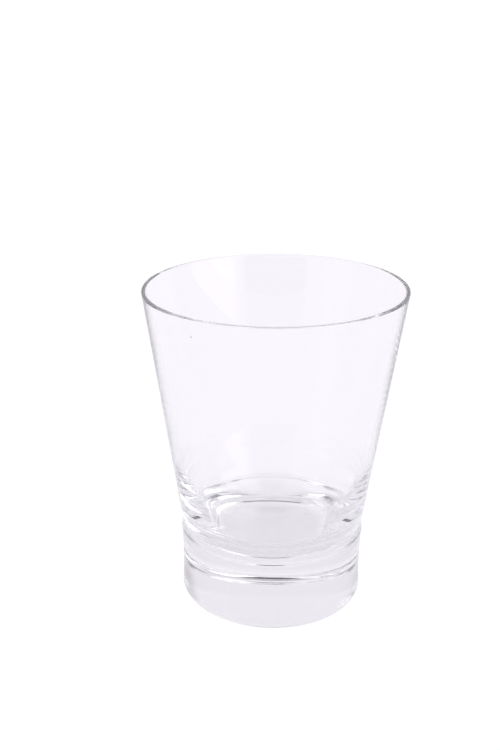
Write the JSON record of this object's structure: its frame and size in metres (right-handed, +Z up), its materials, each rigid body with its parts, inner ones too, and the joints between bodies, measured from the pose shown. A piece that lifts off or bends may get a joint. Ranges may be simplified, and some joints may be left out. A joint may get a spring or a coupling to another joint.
{
  "type": "whiskey tumbler",
  "caption": "Clear glass whiskey tumbler with a flared conical wall on a thick solid cylindrical foot; holds a drink and stands on its base.",
  "frame": {"origin": "centre of the flat base, on the plane the glass stands on", "axes": "+Z up along the axis of revolution, from the base to the mouth; +X and +Y are any two directions across, since the glass is round"},
  "size_m": [0.0878, 0.0878, 0.115],
  "materials": {
    "clear_glass": "clear fire-polished soda-lime glass, smooth, with a faint grey-green tint where it is thick"
  },
  "bodies": {
    "root": {"tumbler": "clear_glass"}
  },
  "joints": []
}
